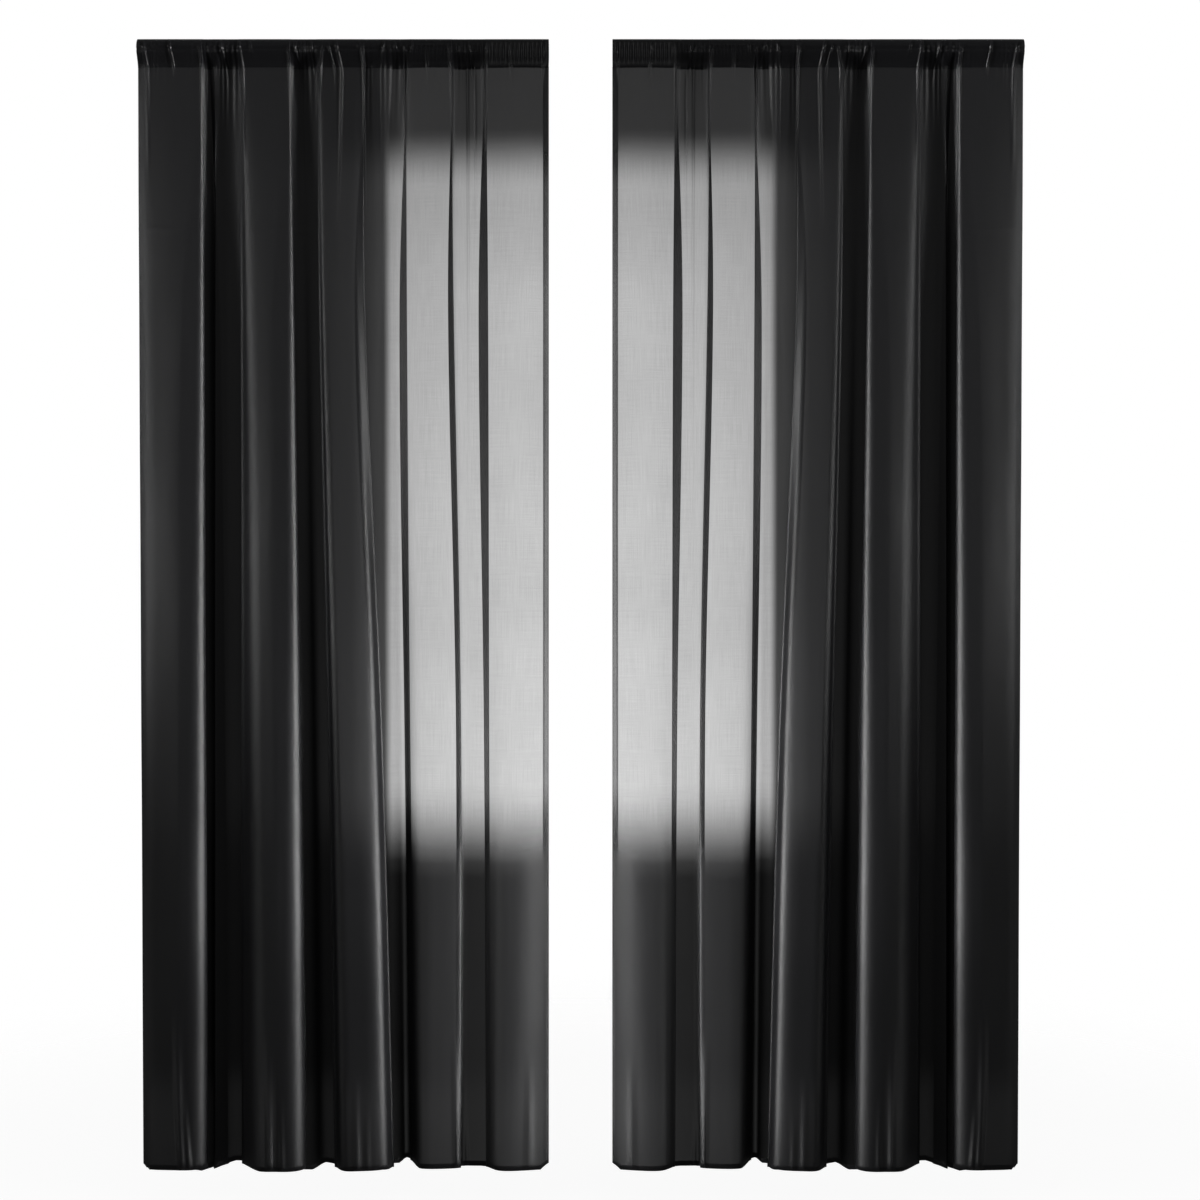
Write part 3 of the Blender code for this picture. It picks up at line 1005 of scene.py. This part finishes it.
def voile_material(cloth):
    """Sheer black voile: a plain weave of thin, slightly glossy yarns with uneven streaks, and its
    rows of stitches."""
    n = Nodes(cloth.name)
    across, down = cut_coordinates(n)
    sewn = stitches(n, across, down, cloth.level_row)
    warp = n.math("SINE", n.math("MULTIPLY", across, 2 * math.pi / THREAD_PITCH))
    weft = n.math("SINE", n.math("MULTIPLY", down, 2 * math.pi / THREAD_PITCH))
    yarn = yarn_streaks(n, across, down)
    clouds = streaks(n, across, down, CLOUD_ACROSS, CLOUD_DOWN, CLOUD_DETAIL)
    colour_yarns(n, yarn)
    let_light_through(n, clouds, yarn, n.math("ADD", warp, weft), sewn)
    raise_threads(n, n.math("MULTIPLY", warp, weft), yarn, sewn)
    by_yarn = n.math("MULTIPLY", yarn, YARN_ROUGH)
    n.feed(n.shader.inputs["Roughness"], n.math("ADD", by_yarn, cloth.roughness - YARN_ROUGH / 2))
    n.shader.inputs["Specular IOR Level"].default_value = cloth.gloss
    n.shader.inputs["Sheen Weight"].default_value = SHEEN
    n.shader.inputs["Sheen Roughness"].default_value = SHEEN_ROUGHNESS
    n.shader.inputs["Sheen Tint"].default_value = SHEEN_TINT
    return n.material


def floor_material():
    """A plain pale floor that fades out towards its rim."""
    n = Nodes("pale_floor")
    n.shader.inputs["Base Color"].default_value = (FLOOR_GREY, FLOOR_GREY, FLOOR_GREY, 1.0)
    n.shader.inputs["Roughness"].default_value = FLOOR_ROUGHNESS
    n.shader.inputs["Emission Color"].default_value = (1.0, 1.0, 1.0, 1.0)
    path = n.node("ShaderNodeLightPath")
    glow = n.math("MULTIPLY", path.outputs["Is Camera Ray"], FLOOR_GLOW)
    n.feed(n.shader.inputs["Emission Strength"], glow)
    coordinates = n.node("ShaderNodeTexCoord")
    length = n.node("ShaderNodeVectorMath", operation="LENGTH")
    n.tree.links.new(coordinates.outputs["Object"], length.inputs[0])
    fade = n.node("ShaderNodeMapRange", interpolation_type="SMOOTHSTEP")
    n.tree.links.new(length.outputs["Value"], fade.inputs["Value"])
    fade.inputs["From Min"].default_value = FLOOR_RADIUS * FLOOR_FADES[0]
    fade.inputs["From Max"].default_value = FLOOR_RADIUS * FLOOR_FADES[1]
    fade.inputs["To Min"].default_value = 1.0
    fade.inputs["To Max"].default_value = 0.0
    n.tree.links.new(fade.outputs["Result"], n.shader.inputs["Alpha"])
    return n.material


def add_floor():
    """A round pale floor a little below the hem."""
    mesh = bpy.data.meshes.new("floor")
    angles = [2 * math.pi * i / FLOOR_SIDES for i in range(FLOOR_SIDES)]
    rim = [(FLOOR_RADIUS * math.cos(a), FLOOR_RADIUS * math.sin(a), 0.0) for a in angles]
    mesh.from_pydata(rim, [], [tuple(range(FLOOR_SIDES))])
    mesh.materials.append(floor_material())
    floor = bpy.data.objects.new("floor", mesh)
    floor.location = (0.0, 0.0, -DROP - FLOOR_BELOW_HEM)
    bpy.context.scene.collection.objects.link(floor)


def add_lamp(lamp, before="", side=1):
    """A soft box, named with what comes before its own name, mirrored where the side is -1."""
    light = bpy.data.lights.new(before + lamp.name, "AREA")
    light.shape = "RECTANGLE"
    light.size = lamp.width
    light.size_y = lamp.height
    light.energy = lamp.watts
    light.spread = math.radians(lamp.spread)
    location, aim = (Vector((side * x, y, z)) for x, y, z in (lamp.location, lamp.aim))
    box = bpy.data.objects.new(before + lamp.name, light)
    box.visible_camera = False
    box.location = location
    box.rotation_euler = (aim - location).to_track_quat("-Z", "Y").to_euler()
    bpy.context.scene.collection.objects.link(box)


def add_world():
    """A plain white studio all round."""
    world = bpy.data.worlds.new("studio")
    world.use_nodes = True
    tree = world.node_tree
    background = tree.nodes["Background"]
    background.inputs["Color"].default_value = (1.0, 1.0, 1.0, 1.0)
    path = tree.nodes.new("ShaderNodeLightPath")
    strength = tree.nodes.new("ShaderNodeMapRange")
    strength.inputs["To Min"].default_value = STUDIO_DIM
    strength.inputs["To Max"].default_value = 1.0
    tree.links.new(path.outputs["Is Camera Ray"], strength.inputs["Value"])
    tree.links.new(strength.outputs["Result"], background.inputs["Strength"])
    bpy.context.scene.world = world


def add_camera():
    """The camera, framed so that the top edge and the pair's middle fall where the photo has them."""
    camera = bpy.data.cameras.new("camera")
    camera.sensor_width = SENSOR
    camera.lens = SENSOR * CAMERA_DISTANCE / (PHOTO_SIDE * PHOTO_PIXEL)
    camera.clip_end = FURTHEST_SEEN
    seen = bpy.data.objects.new("camera", camera)
    half = PHOTO_SIDE / 2
    seen.location = (
        (half - PHOTO_MIDDLE_X) * PHOTO_PIXEL,
        -CAMERA_DISTANCE,
        -(half - PHOTO_TOP_EDGE) * PHOTO_PIXEL,
    )
    seen.rotation_euler = (math.pi / 2, 0.0, 0.0)
    bpy.context.scene.collection.objects.link(seen)
    bpy.context.scene.camera = seen


def build_curtains():
    """Both panels and both pockets, the right ones the mirror images of the left."""
    places = column_places()
    shares = cut_across(places)
    panel_rows, panel_down = panel_grid(places)
    clearness = painted_panel_clearness(places, panel_rows)
    pocket_rows, pocket_shares = pocket_grid()
    painted_pocket_clear = painted_pocket_clearness(pocket_rows)
    pocket_down = [POCKET_CUT_LENGTH * i / (len(pocket_rows) - 1) for i in range(len(pocket_rows))]
    from_hem = [max(0.0, DROP - down) for down in panel_down[:-len(HEM_WAY)]]
    from_hem += [share * BOTTOM_HEM for share, _ in reversed(HEM_WAY)]
    from_seam = [min(down, POCKET_CUT_LENGTH - down) for down in pocket_down]
    panel_cloth = voile_material(PANEL_CLOTH)
    pocket_cloth = voile_material(POCKET_CLOTH)
    for side, mirrored in (("left", False), ("right", True)):
        name = side + "_voile"
        mesh = grid_mesh(name, panel_rows, shares, panel_down, mirrored)
        write_clearness(mesh, clearness)
        write_distances(mesh, edge_distances(shares, from_hem, len(HEM_WAY)))
        piece = add_piece(name, mesh, panel_cloth, side + "_panel")

        name = side + "_pocket_voile"
        mesh = grid_mesh(name, pocket_rows, pocket_shares, pocket_down, mirrored)
        write_clearness(mesh, painted_pocket_clear)
        write_distances(mesh, edge_distances(pocket_shares, from_seam, 0))
        piece = add_piece(name, mesh, pocket_cloth, side + "_rod_pocket")


def build_studio():
    """The camera, the floor, the white surround and the lights, the same on both sides."""
    add_camera()
    add_floor()
    add_world()
    for before, side in (("left_", 1), ("right_", -1)):
        for lamp in SIDE_LAMPS:
            add_lamp(lamp, before, side)
    add_lamp(TOP_LAMP)
    bpy.context.scene.view_settings.view_transform = "Standard"


build_curtains()
build_studio()
